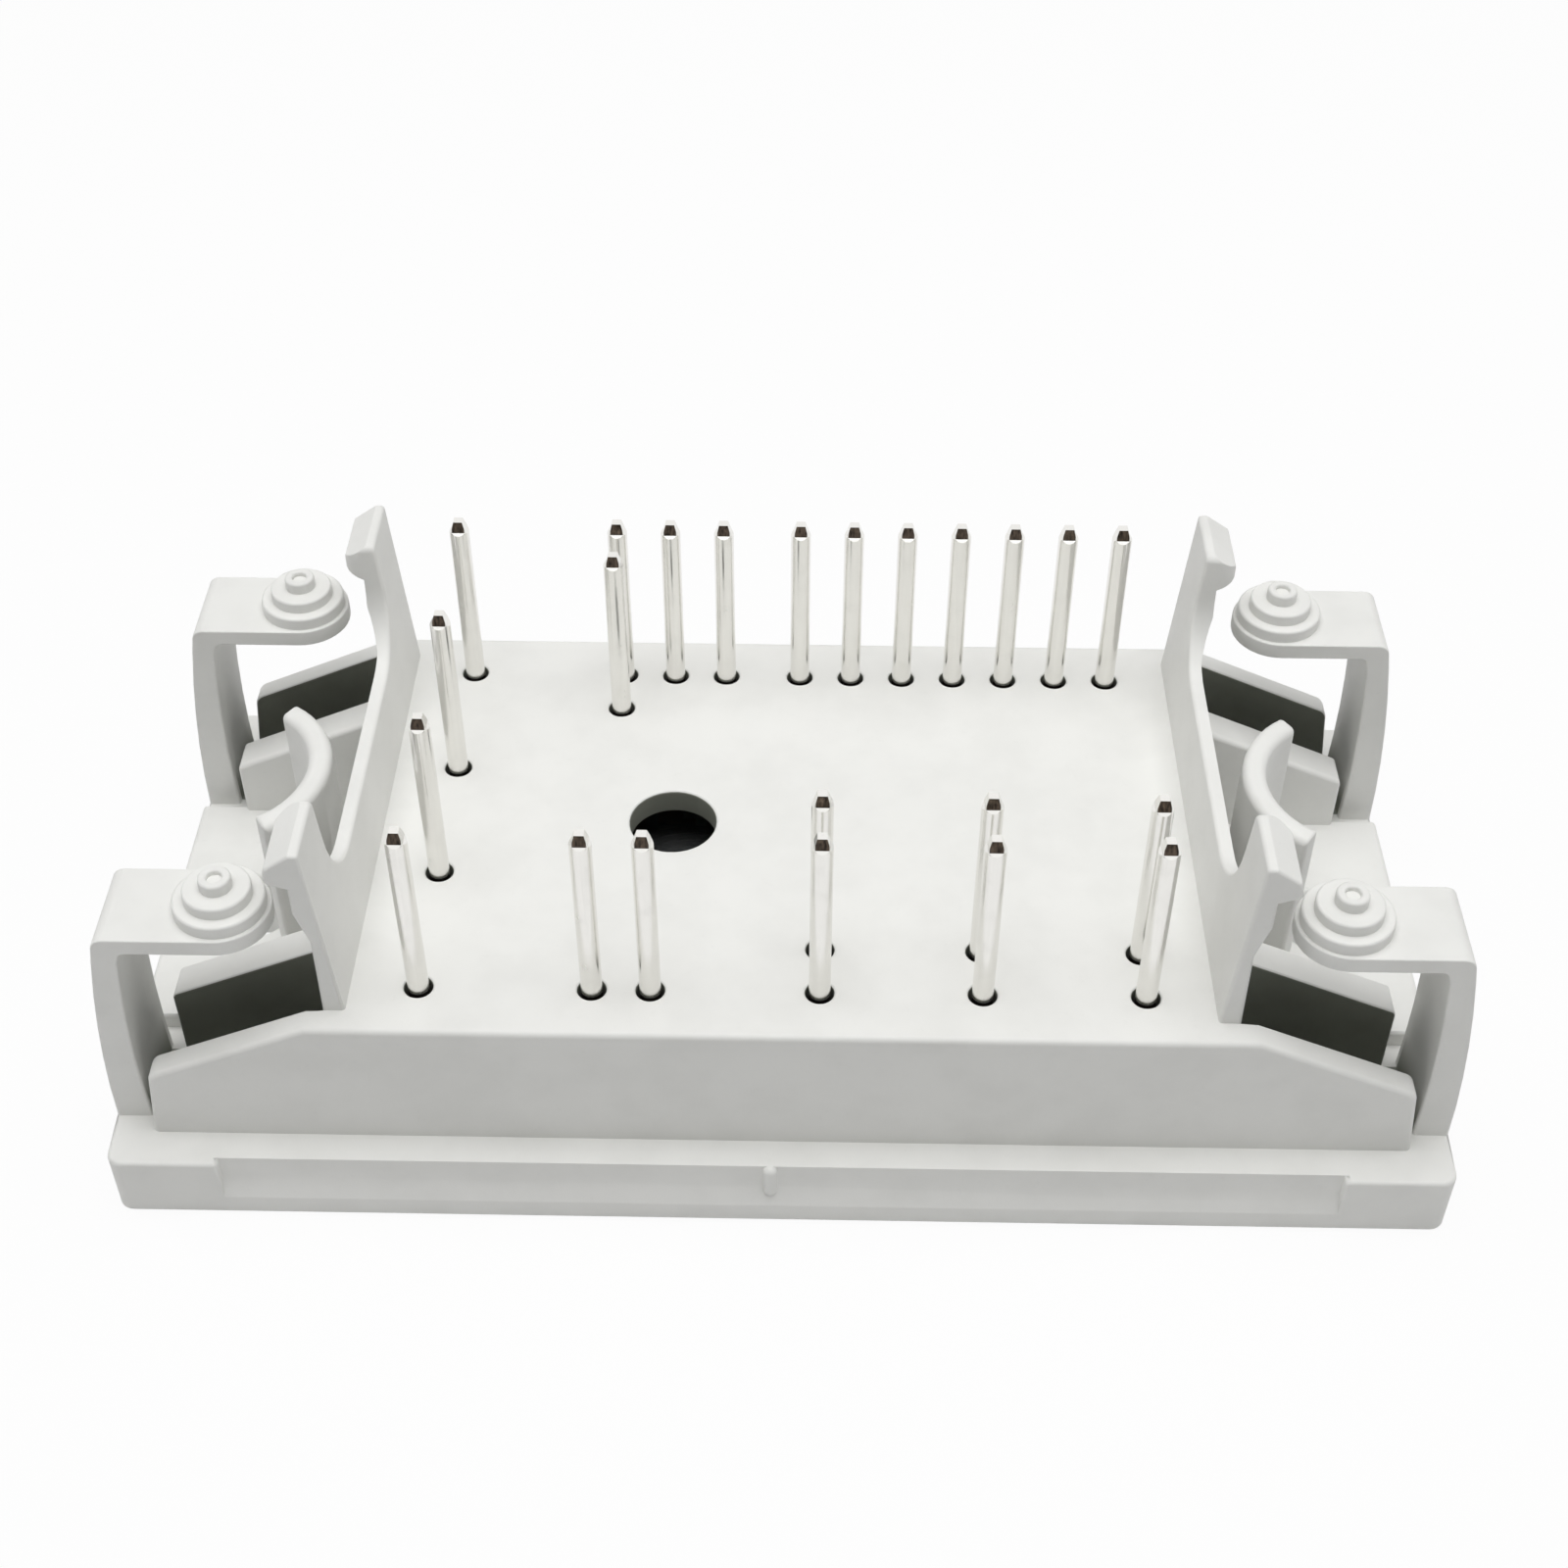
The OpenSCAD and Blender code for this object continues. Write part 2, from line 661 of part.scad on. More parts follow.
module heat_sink_copper() {
    color(COPPER)
        centred_box(ceramic_x - rim_w, ceramic_y - rim_w, 0, ceramic_z);
}

// Copper track between two corners
module track(x0, y0, x1, y1) {
    translate([x0, y0, tracks_z])
        cube([x1 - x0, y1 - y0, copper_t]);
}

module circuit_tracks() {
    color(COPPER) {
        for (i = [0:2])
            track(-track_x, input_y(i) - phase_w / 2, phase_x1, min(input_y(i) + phase_w / 2, track_y));
        track(plus_x0, lower_edge_y, plus_x1, track_y);
        track(-track_x, -track_y, brake_x0 - track_gap, lower_edge_y - track_gap);
        track(brake_x0, -track_y, brake_x1, lower_edge_y - track_gap);
        for (i = [0:2])
            track(leg_x(i) - phase_w / 2, -track_y, min(leg_x(i) + phase_w / 2, track_x), output_y1);
        track(minus_x0, minus_bus_y0, track_x, minus_bus_y1);
        track(minus_x0, minus_bus_y0, minus_x1, track_y);
        track(minus_x1 + track_gap, plus_bus_y0, track_x, plus_bus_y1);
        for (i = [0:6])
            track(field_l / 2 - i * pitch - pad_w / 2, pad_y0, field_l / 2 - i * pitch + pad_w / 2, track_y);
        track(sense_x1 - pad_w, plus_bus_y1 - thermistor_s - ribbon_in, sense_x1, track_y);
    }
}

module adhesive_bead() {
    color([0.25, 0.25, 0.26])
        difference() {
            centred_box(ceramic_x, ceramic_y, tracks_z, seat_z);
            centred_box(cavity_x, cavity_y, tracks_z - past, seat_z + past);
        }
}

// Round wire with its solder foot, before the tip is squared
module pin_wire(i) {
    translate([PINS[i][0], PINS[i][1], chips_z]) {
        cylinder(d = pin_foot_d, h = pin_foot_h);
        cylinder(d = pin_d, h = pin_tip_h - chips_z);
    }
}

// What is pressed away on one side of a pin's tip
module tip_flat() {
    root_x = pin_d * pin_tip_root / 2;
    end_x = pin_d * pin_tip_end / 2;
    root_z = pin_tip_h - pin_tip_l;
    taper = (root_x - end_x) / pin_tip_l;
    along_y(-pin_d, 2 * pin_d)
        polygon([
            [root_x, root_z],
            [root_x + pin_d, root_z - pin_d],
            [root_x + pin_d, pin_tip_h + past],
            [end_x - taper * past, pin_tip_h + past]
        ]);
}

module pin(i) {
    color(TIN)
        difference() {
            pin_wire(i);
            for (turn = [0:90:270])
                translate([PINS[i][0], PINS[i][1], 0])
                    rotate(turn)
                        tip_flat();
        }
}

// Square chip on a track: [x, y, side]
module chip(c) {
    color(SILICON)
        translate([c[0] - c[2] / 2, c[1] - c[2] / 2, chips_z])
            cube([c[2], c[2], chip_t]);
}

module thermistor() {
    color([0.20, 0.18, 0.16])
        translate([thermistor_at[0] - thermistor_l / 2, thermistor_at[1] - thermistor_s / 2, chips_z])
            cube([thermistor_l, thermistor_s, thermistor_s]);
}

// Arched ribbon between two landings, which may lie lower than the arch's ends
module bond_ribbon(w) {
    span = w[1] - w[0];
    steps = 10;
    function arch(r) = [for (i = [0:steps]) r * [-cos(180 * i / steps), sin(180 * i / steps)]];
    function leg(r, z) = z < chip_top_z ? [[r, z - chip_top_z]] : [];
    outer_r = norm(span) / 2 + ribbon_t / 2;
    inner_r = norm(span) / 2 - ribbon_t / 2;
    inner = arch(inner_r);
    translate([(w[0][0] + w[1][0]) / 2, (w[0][1] + w[1][1]) / 2, chip_top_z])
        rotate([90, 0, atan2(span[1], span[0])])
            linear_extrude(ribbon_w, center = true)
                polygon(concat(
                    leg(-outer_r, w[2]),
                    arch(outer_r),
                    leg(outer_r, w[3]),
                    leg(inner_r, w[3]),
                    [for (i = [steps:-1:0]) inner[i]],
                    leg(-inner_r, w[2])
                ));
}

module bond_ribbons() {
    color([0.80, 0.80, 0.82])
        for (w = RIBBONS)
            bond_ribbon(w);
}

module silicone_gel() {
    color([0.75, 0.82, 0.85])
        difference() {
            centred_box(cavity_x, cavity_y, tracks_z, gel_top_z);
            circuit_tracks();
            for (c = concat(RECTIFIER_DIODES, OUTPUT_SWITCHES, FREEWHEEL_DIODES, [BRAKE_SWITCH, BRAKE_DIODE]))
                chip(c);
            thermistor();
            bond_ribbons();
            for (i = [0:len(PINS) - 1])
                pin_wire(i);
        }
}

housing();
ceramic_substrate();
heat_sink_copper();
circuit_tracks();
adhesive_bead();
silicone_gel();
for (i = [0:len(PINS) - 1])
    pin(i);
for (i = [0:len(RECTIFIER_DIODES) - 1])
    chip(RECTIFIER_DIODES[i]);
for (i = [0:len(OUTPUT_SWITCHES) - 1])
    chip(OUTPUT_SWITCHES[i]);
for (i = [0:len(FREEWHEEL_DIODES) - 1])
    chip(FREEWHEEL_DIODES[i]);
chip(BRAKE_SWITCH);  // brake_switch
chip(BRAKE_DIODE);  // brake_diode
thermistor();
bond_ribbons();
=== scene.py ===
"""Looks of a pin-type rectifier module: moulded housing, tinned pins and the substrate under them."""

import math

import bmesh
import bpy
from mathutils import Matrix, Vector


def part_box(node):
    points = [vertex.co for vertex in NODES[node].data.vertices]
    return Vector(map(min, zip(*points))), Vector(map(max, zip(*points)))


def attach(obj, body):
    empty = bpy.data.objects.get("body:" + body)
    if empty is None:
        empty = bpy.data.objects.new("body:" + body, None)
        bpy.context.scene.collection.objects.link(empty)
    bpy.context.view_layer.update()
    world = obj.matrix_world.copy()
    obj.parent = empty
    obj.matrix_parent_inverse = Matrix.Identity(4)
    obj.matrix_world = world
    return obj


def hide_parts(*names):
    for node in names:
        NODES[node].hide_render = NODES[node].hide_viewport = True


bl_info = {
    "name": "Rectifier module",
    "version": (1, 0, 0),
    "blender": (4, 5, 0),
    "location": "3D View > Sidebar > Module",
    "description": "Finishes a moulded power module around its CAD frame",
    "category": "Add Mesh",
}

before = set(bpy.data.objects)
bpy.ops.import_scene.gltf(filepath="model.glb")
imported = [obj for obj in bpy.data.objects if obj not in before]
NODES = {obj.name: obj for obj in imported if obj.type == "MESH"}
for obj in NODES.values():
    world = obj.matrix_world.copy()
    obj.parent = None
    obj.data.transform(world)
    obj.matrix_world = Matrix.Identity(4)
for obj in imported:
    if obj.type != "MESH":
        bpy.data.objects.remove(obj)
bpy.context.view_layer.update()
BODY = "root"
PIN_NODES = sorted(n for n in NODES if n.startswith("pin_"))
CHIP_NODES = sorted(n for n in NODES if "diode" in n or "switch" in n)

# A millimetre in metres, and a metre in millimetres
MM = 0.001
METRE = 1000

# Heights on the module, in millimetres above the heat sink
BASE_TOP = 3.6
TOP_FACE = 11.0
PIN_FLATS = 20.39

# Width of a pin with its foot, in millimetres
PIN_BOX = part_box(PIN_NODES[0])
PIN_WIDTH = (PIN_BOX[1][0] - PIN_BOX[0][0]) * METRE

# Distances from the middle of the housing, in millimetres, along its length and then across its width
SIDE_WALL = 20.9
LEG = 30.0
PIN_FIELD_L = 18.0
PIN_FIELD_W = 12.5
RIB = 9.05
WING = 12.8

# Making of the housing's rounded edges: lengths in millimetres, angles in radians
WELD = 0.002
FLAT = 0.002
ONE_PLANE = math.radians(0.4)
SHARP = math.radians(32)
RUN_ON = math.radians(40)
ROOM_SHARE = 0.42
WIDE_OPEN = 9.0
SAME_PLACE = 1e-6
TOUCHING = 1e-4
PROBES = (0.05, 0.5, 0.95)
HOOK_ROUND = 1.4
ROUND_SEGMENTS = 3

# Light and dark tone of the finishes that no user would change
WHITE_CERAMIC = ((0.84, 0.83, 0.80, 1), (0.74, 0.73, 0.70, 1))
SILICON = ((0.075, 0.08, 0.10, 1), (0.05, 0.052, 0.065, 1))
THERMISTOR = ((0.06, 0.05, 0.045, 1), (0.03, 0.03, 0.03, 1))
ALUMINIUM = ((0.86, 0.86, 0.87, 1), (0.66, 0.66, 0.68, 1))
SEALANT = ((0.045, 0.046, 0.05, 1), (0.08, 0.08, 0.085, 1))
GEL = ((0.30, 0.31, 0.31, 1), (0.22, 0.23, 0.23, 1))
# Share of the painted pocket shade's tone that its darker mottling keeps
PAINTED_SHADE_MOTTLE = 0.8

# Studio, in metres and degrees. A lamp has its name, its power's setting, its size, its place and its target
WHITE = (1, 1, 1, 1)
FLOOR_PAPER = (0.80, 0.80, 0.80, 1)
FLOOR_SIZE = 3.0
FLOOR_WHITE = 0.93
FLOOR_FADE = (0.1, 0.45)
LAMPS = (
    ("key_lamp", "key", 0.36, (0, -0.015, 0.40), (0, 0, 0)),
    ("left_lamp", "side", 0.30, (-0.32, 0.02, 0.22), (0, 0, 0.01)),
    ("right_lamp", "side", 0.30, (0.32, 0.02, 0.22), (0, 0, 0.01)),
    ("fill_lamp", "fill", 0.26, (0.05, -0.40, 0.16), (0, 0, 0.01)),
)
CAMERA_PLACE = (0.00119, -0.08123, 0.08887)
CAMERA_TURN = (47.182, -0.121, 1.018)
CAMERA_NEAR = 0.005
SENSOR_WIDTH = 36


class ModuleFinish(bpy.types.PropertyGroup):
    """Colours and edge sizes of the module's pieces"""

    plastic: bpy.props.FloatVectorProperty(
        name="Plastic", description="Colour of the moulded housing",
        subtype="COLOR", size=4, min=0, max=1, default=(0.80, 0.80, 0.775, 1))
    plastic_shade: bpy.props.FloatVectorProperty(
        name="Plastic mottling", description="Slightly darker tone of the moulding",
        subtype="COLOR", size=4, min=0, max=1, default=(0.745, 0.745, 0.72, 1))
    # The pocket tone is painted shade: a dark plastic on the pocket walls and floors, and on the walls of the
    # holes in the top, where there is only shade
    painted_pocket_shade: bpy.props.FloatVectorProperty(
        name="Pocket walls", description="Dark tone inside the pockets beside the posts",
        subtype="COLOR", size=4, min=0, max=1, default=(0.26, 0.27, 0.232, 1))
    tin: bpy.props.FloatVectorProperty(
        name="Tin", description="Colour of the tinned wire",
        subtype="COLOR", size=4, min=0, max=1, default=(0.86, 0.85, 0.82, 1))
    tin_dull: bpy.props.FloatVectorProperty(
        name="Dull tin", description="Colour of the duller streaks on the wire",
        subtype="COLOR", size=4, min=0, max=1, default=(0.70, 0.69, 0.66, 1))
    # The tip tone is partly the bare cut metal of the pressed tips and partly a painted reflection of dark
    # surroundings on their front and back flats
    tip_bare_and_painted_reflection: bpy.props.FloatVectorProperty(
        name="Pressed tip", description="Colour of the bare metal on the pressed tips",
        subtype="COLOR", size=4, min=0, max=1, default=(0.11, 0.085, 0.065, 1))
    # The dull tip tone is the darker streaks on the tips, and painted shade on the wire inside its hole
    tip_dull_and_painted_hole_shade: bpy.props.FloatVectorProperty(
        name="Dull tip", description="Darker tone of the tips, and of the wire inside its hole",
        subtype="COLOR", size=4, min=0, max=1, default=(0.022, 0.018, 0.015, 1))
    copper: bpy.props.FloatVectorProperty(
        name="Copper", description="Colour of the copper layers",
        subtype="COLOR", size=4, min=0, max=1, default=(0.76, 0.42, 0.27, 1))
    copper_dull: bpy.props.FloatVectorProperty(
        name="Dull copper", description="Colour of the lightly oxidised copper",
        subtype="COLOR", size=4, min=0, max=1, default=(0.50, 0.27, 0.19, 1))
    edge_round: bpy.props.FloatProperty(
        name="Edge rounding", description="Rounding of the housing's main edges, in millimetres",
        min=0.05, max=0.4, default=0.28)
    screen_round: bpy.props.FloatProperty(
        name="Screen rounding", description="Rounding of the curved walls around the screws, in millimetres",
        min=0.1, max=0.55, default=0.45)
    fine_round: bpy.props.FloatProperty(
        name="Fine rounding", description="Rounding of bosses, hooks and holes, in millimetres",
        min=0.02, max=0.2, default=0.13)
    grain: bpy.props.FloatProperty(
        name="Grain size", description="Size of the moulded surface's grain, in millimetres",
        min=0.02, max=0.5, default=0.09)


class ModuleStage(bpy.types.PropertyGroup):
    """Camera and light of the studio"""

    lens: bpy.props.FloatProperty(
        name="Lens", description="Focal length on a 36 mm wide sensor", subtype="DISTANCE_CAMERA",
        min=20, max=200, default=52.0)
    sky: bpy.props.FloatProperty(
        name="Sky", description="Strength of the even light from all round", min=0, max=2, default=0.12)
    key: bpy.props.FloatProperty(
        name="Key lamp", description="Power of the large soft lamp overhead", subtype="POWER",
        min=0, max=20, default=1.45)
    side: bpy.props.FloatProperty(
        name="Side lamps", description="Power of the soft lamps on the left and on the right", subtype="POWER",
        min=0, max=20, default=0.2)
    fill: bpy.props.FloatProperty(
        name="Fill lamp", description="Power of the lamp in front", subtype="POWER",
        min=0, max=20, default=0.05)


class Value:
    """A node's output that takes part in sums like a number."""

    def __init__(self, sheet, socket):
        self.sheet = sheet
        self.socket = socket

    def _sum(self, operation, a, b):
        return self.sheet.add("ShaderNodeMath", {"operation": operation}, {0: a, 1: b})

    def __add__(self, other):
        return self._sum("ADD", self, other)

    __radd__ = __add__

    def __sub__(self, other):
        return self._sum("SUBTRACT", self, other)

    def __rsub__(self, other):
        return self._sum("SUBTRACT", other, self)

    def __mul__(self, other):
        return self._sum("MULTIPLY", self, other)

    __rmul__ = __mul__

    def __gt__(self, other):
        return self._sum("GREATER_THAN", self, other)

    def __abs__(self):
        return self.sheet.add("ShaderNodeMath", {"operation": "ABSOLUTE"}, {0: self})


class Sheet:
    """The node sheet of a material or of the world, filled from Python expressions."""

    def __init__(self, owner):
        self.owner = owner
        owner.use_nodes = True
        self.tree = owner.node_tree
        self.tree.nodes.clear()

    def add(self, kind, settings=None, inputs=None, outlet=0):
        """Adds one node: its settings first, then the values or links of its sockets."""
        node = self.tree.nodes.new(kind)
        for key, setting in (settings or {}).items():
            setattr(node, key, setting)
        for key, given in (inputs or {}).items():
            socket = self._socket(node.inputs, key)
            if isinstance(given, Value):
                self.tree.links.new(given.socket, socket)
            else:
                socket.default_value = given
        return Value(self, self._socket(node.outputs, outlet)) if node.outputs else None

    @staticmethod
    def _socket(sockets, key):
        """A socket by its identifier, its name or its number."""
        for socket in sockets:
            if socket.identifier == key:
                return socket
        return sockets[key]

    def place(self):
        """Object coordinates, in metres."""
        return self.add("ShaderNodeTexCoord", outlet="Object")

    def along(self, axis):
        """Place along one axis of the object, in millimetres."""
        return self.add("ShaderNodeSeparateXYZ", None, {"Vector": self.place()}, outlet=axis) * METRE

    def off_middle(self, width_mm):
        """Distance sideways from the middle of a piece of this width, in millimetres."""
        coords = self.add("ShaderNodeTexCoord", outlet="Generated")
        return abs(self.add("ShaderNodeSeparateXYZ", None, {"Vector": coords}, outlet="X") - 0.5) * width_mm

    def facing(self, axis):
        """How far the surface faces along an axis: one or minus one straight on, zero sideways."""
        normal = self.add("ShaderNodeTexCoord", outlet="Normal")
        return self.add("ShaderNodeSeparateXYZ", None, {"Vector": normal}, outlet=axis)

    def noise(self, size_mm, detail=2.0, roughness=0.5, stretch=(1, 1, 1)):
        """Noise with features about size_mm across, drawn out along an axis with a small stretch value."""
        where = self.add("ShaderNodeMapping", None, {"Vector": self.place(), "Scale": stretch})
        return self.add("ShaderNodeTexNoise", None, {
            "Vector": where, "Scale": 1 / (size_mm * MM), "Detail": detail, "Roughness": roughness})

    def ramp(self, value, low, high):
        """Zero below low, one above high, and a smooth rise between them."""
        return self.add("ShaderNodeMapRange", {"interpolation_type": "SMOOTHSTEP"}, {
            "Value": value, "From Min": low, "From Max": high})

    def between(self, value, low, high, soft):
        """One from low to high, fading to zero over the width soft at both ends."""
        return self.ramp(value, low - soft, low) * (1 - self.ramp(value, high, high + soft))

    def mix(self, factor, a, b):
        """Colour a where the factor is zero, colour b where it is one."""
        return self.add("ShaderNodeMix", {"data_type": "RGBA"}, {
            "Factor_Float": factor, "A_Color": a, "B_Color": b}, outlet="Result_Color")

    def bump(self, height, strength, depth_mm):
        """Normals of a surface that rises and falls by depth_mm."""
        return self.add("ShaderNodeBump", None, {
            "Height": height, "Strength": strength, "Distance": depth_mm * MM})

    def surface(self, sockets):
        """Ends a material's sheet with the main shader."""
        shader = self.add("ShaderNodeBsdfPrincipled", None, sockets)
        self.add("ShaderNodeOutputMaterial", None, {"Surface": shader})
        return self.owner


def new_sheet(name):
    """The empty sheet of a new material."""
    return Sheet(bpy.data.materials.new(name))


def painted_pocket_floor_shade(s):
    """Painted shade: one on the floors of the pockets beside the posts, fading out a little way up."""
    x, y, z = abs(s.along("X")), abs(s.along("Y")), s.along("Z")
    lengthwise = s.between(x, low=SIDE_WALL + 0.1, high=LEG + 0.2, soft=0.3)
    crosswise = s.between(y, low=RIB - 0.05, high=WING + 0.1, soft=0.1)
    above = s.ramp(z, low=BASE_TOP - 0.3, high=BASE_TOP - 0.1)
    far_up = s.ramp(z, low=BASE_TOP + 0.2, high=BASE_TOP + 2.9)
    return lengthwise * crosswise * above * (1 - far_up)


def moulded_plastic(name, light, dark, look):
    """Fine matt moulding with faint mottling, a grained surface and painted shade on the pocket floors."""
    s = new_sheet(name)
    mottle = s.ramp(s.noise(size_mm=3.2, detail=3.0, roughness=0.55), low=0.35, high=0.75)
    speck = s.ramp(s.noise(size_mm=0.35, roughness=0.6), low=0.62, high=0.78)
    grain = s.noise(size_mm=look.grain, roughness=0.6)
    flow = s.noise(size_mm=1.4, stretch=(0.35, 1, 1))
    colour = s.mix(mottle * 0.65 + speck * 0.25, light, dark)
    return s.surface({
        # The pocket floors get the pocket tone as painted shade
        "Base Color": s.mix(painted_pocket_floor_shade(s), colour, look.painted_pocket_shade),
        "Roughness": 0.42 + grain * 0.16 + flow * 0.06,
        "Normal": s.bump(grain * 0.7 + flow * 0.3, strength=0.22, depth_mm=0.02),
        "Specular IOR Level": 0.38})


def tinned_wire(look):
    """Bright drawn wire with faint lengthwise streaks, painted shade on the wire inside its hole, and dark
    flats at the tip that are partly bare metal and partly a painted reflection.
    """
    s = new_sheet("tinned_wire")
    streak = s.noise(size_mm=0.12, detail=3.0, roughness=0.6, stretch=(1, 1, 0.04))
    smear = s.ramp(s.noise(size_mm=1.1, roughness=0.6), low=0.45, high=0.8)
    height = s.along("Z")
    # Painted shade on the wire below the top face, inside its hole
    sunk_painted_shade = 1 - s.ramp(height, low=TOP_FACE - 0.07, high=TOP_FACE + 0.03)
    at_tip = s.ramp(height, low=PIN_FLATS - 0.05, high=PIN_FLATS + 0.05)
    upright = 1 - s.ramp(s.facing("Z"), low=0.4, high=0.6)
    front_or_back = s.ramp(abs(s.facing("Y")), low=0.4, high=0.6)
    edge = s.ramp(s.off_middle(PIN_WIDTH), low=0.29, high=0.34)
    # Front and back flats of the tip: bare cut metal, darkened further as a painted reflection of dark
    # surroundings
    tip_flat_bare_and_painted_reflection = at_tip * upright * front_or_back * (1 - edge)
    tin = s.mix(streak * 0.35 + smear * 0.2, look.tin, look.tin_dull)
    bare_metal_and_painted_reflection = s.mix(s.ramp(streak, low=0.3, high=0.7), look.tip_bare_and_painted_reflection, look.tip_dull_and_painted_hole_shade)
    return s.surface({
        "Base Color": s.mix(sunk_painted_shade, s.mix(tip_flat_bare_and_painted_reflection, tin, bare_metal_and_painted_reflection), look.tip_dull_and_painted_hole_shade),
        "Metallic": 1.0,
        "Roughness": 0.14 + streak * 0.14 + smear * 0.06 + sunk_painted_shade * 0.4,
        "Normal": s.bump(streak, strength=0.08, depth_mm=0.01)})


def bonded_copper(look):
    """Brushed copper foil with soft oxide clouds."""
    s = new_sheet("bonded_copper")
    brush = s.noise(size_mm=0.10, detail=3.0, roughness=0.6, stretch=(0.03, 1, 1))
    cloud = s.ramp(s.noise(size_mm=6.0, detail=3.0, roughness=0.6), low=0.40, high=0.75)
    return s.surface({
        "Base Color": s.mix(brush * 0.35 + cloud * 0.45, look.copper, look.copper_dull),
        "Metallic": 1.0,
        "Roughness": 0.26 + brush * 0.18 + cloud * 0.10,
        "Normal": s.bump(brush, strength=0.16, depth_mm=0.01)})


def sintered(name, tones, roughness):
    """Dense ceramic or chip surface with a fine speckle."""
    s = new_sheet(name)
    speck = s.ramp(s.noise(size_mm=0.16, roughness=0.6), low=0.45, high=0.75)
    cloud = s.noise(size_mm=2.5)
    return s.surface({
        "Base Color": s.mix(speck * 0.5 + cloud * 0.3, *tones),
        "Roughness": roughness + speck * 0.12,
        "Normal": s.bump(speck, strength=0.08, depth_mm=0.01)})


def rolled_aluminium():
    """Thin rolled ribbon with lengthwise lines."""
    s = new_sheet("rolled_aluminium")
    line = s.noise(size_mm=0.07, roughness=0.6, stretch=(1, 0.1, 1))
    return s.surface({
        "Base Color": s.mix(line, *ALUMINIUM),
        "Metallic": 1.0,
        "Roughness": 0.24 + line * 0.16,
        "Normal": s.bump(line, strength=0.1, depth_mm=0.01)})


def soft_sealant():
    """Cured dark sealant."""
    s = new_sheet("soft_sealant")
    lump = s.noise(size_mm=0.5)
    return s.surface({
        "Base Color": s.mix(lump, *SEALANT),
        "Roughness": 0.45 + lump * 0.2,
        "Normal": s.bump(lump, strength=0.2, depth_mm=0.05)})


def clear_gel():
    """Soft silicone, see-through with a faint tint."""
    s = new_sheet("clear_gel")
    cloud = s.noise(size_mm=5.0)
    return s.surface({
        "Base Color": s.mix(cloud, *GEL),
        "Roughness": 0.12 + cloud * 0.06,
        "Transmission Weight": 0.75,
        "IOR": 1.41})


def give(pieces, material):
    """Puts one material on CAD nodes, or on new pieces."""
    for piece in pieces:
        piece.data.materials.clear()
        piece.data.materials.append(material)


def only(piece):
    """Selects one object and makes it active."""
    bpy.ops.object.select_all(action="DESELECT")
    piece.select_set(True)
    bpy.context.view_layer.objects.active = piece


def copy_of_node(node, name):
    """A copy of a CAD node's mesh as a new object at the origin."""
    piece = bpy.data.objects.new(name, NODES[node].data.copy())
    bpy.context.scene.collection.objects.link(piece)
    only(piece)
    return piece


def scale_open_mesh(factor):
    """Scales the mesh in edit mode about the origin, up to millimetres or back to metres."""
    bpy.ops.mesh.select_all(action="SELECT")
    bpy.ops.transform.resize(value=(factor, factor, factor), center_override=(0, 0, 0))


def near(place, target, reach):
    """Whether a place lies within reach of a target."""
    return abs(place - target) < reach


def flat_region(first, waiting):
    """Takes out of waiting all faces that join the first one in its plane."""
    normal, point = first.normal.copy(), first.verts[0].co.copy()
    region, rim = {first}, [first]
    waiting.discard(first)
    while rim:
        for edge in rim.pop().edges:
            for face in edge.link_faces:
                if face in waiting and all(abs((v.co - point).dot(normal)) < FLAT for v in face.verts):
                    waiting.discard(face)
                    region.add(face)
                    rim.append(face)
    return region


def flat_outlines(mesh):
    """For each face, the edges around the flat region that it is part of."""
    outline_of = {}
    waiting = set(mesh.faces)
    for first in mesh.faces:
        if first in waiting:
            region = flat_region(first, waiting)
            edges = {edge for face in region for edge in face.edges}
            outline = [edge for edge in edges if sum(face in region for face in edge.link_faces) == 1]
            outline_of.update((face, outline) for face in region)
    return outline_of


def runs_on(edge, other):
    """Whether two edges that share a corner go on in nearly the same direction."""
    corner = next(v for v in edge.verts if v in other.verts)
    a = corner.co - edge.other_vert(corner).co
    b = other.other_vert(corner).co - corner.co
    return a.angle(b, 0.0) < RUN_ON


def room_beside(edge, face, outline):
    """Clear width of a flat region beside one of its edges, in millimetres."""
    loop = next(corner for corner in edge.link_loops if corner.face == face)
    start, end = loop.vert.co, loop.link_loop_next.vert.co
    along = (end - start).normalized()
    inward = face.normal.cross(along)
    nearest = WIDE_OPEN
    for other in outline:
        if other.verts[0] in edge.verts or other.verts[1] in edge.verts:
            if other is not edge and not runs_on(edge, other):
                nearest = min(nearest, other.calc_length())
            continue
        for share in PROBES:
            spot = start.lerp(end, share)
            p, q = (v.co - spot for v in other.verts)
            s, e = p.dot(along), q.dot(along)
            if s * e > 0 or abs(s - e) < SAME_PLACE:
                continue
            reach = p.dot(inward) + (q - p).dot(inward) * s / (s - e)
            if TOUCHING < reach < nearest:
                nearest = reach
    return nearest


def full_rounding(mid, look):
    """Rounding that suits an edge's place, in millimetres: none inside, little on small features."""
    x, y, z = abs(mid.x), abs(mid.y), mid.z
    underside = z < 0.3
    cavity = z < 9.75 and x < 20.6 and y < 13.9
    if underside or cavity:
        return 0.0
    foot = z < 0.9
    boss = z > 14.6 and x > 22.6
    hole = x < PIN_FIELD_L and y < PIN_FIELD_W
    pocket_rim = x > SIDE_WALL - 0.1 and z < TOP_FACE + 0.05 and (near(y, RIB, 0.15) or near(y, WING, 0.1))
    if foot or boss or hole or pocket_rim:
        return look.fine_round
    hook = z > TOP_FACE + 0.1 and x < 22.9 and y > 6.9
    if hook:
        return look.fine_round * HOOK_ROUND
    screen = 22.1 < x < 25.6 and y < 5 and z > 4.6
    return look.screen_round if screen else look.edge_round


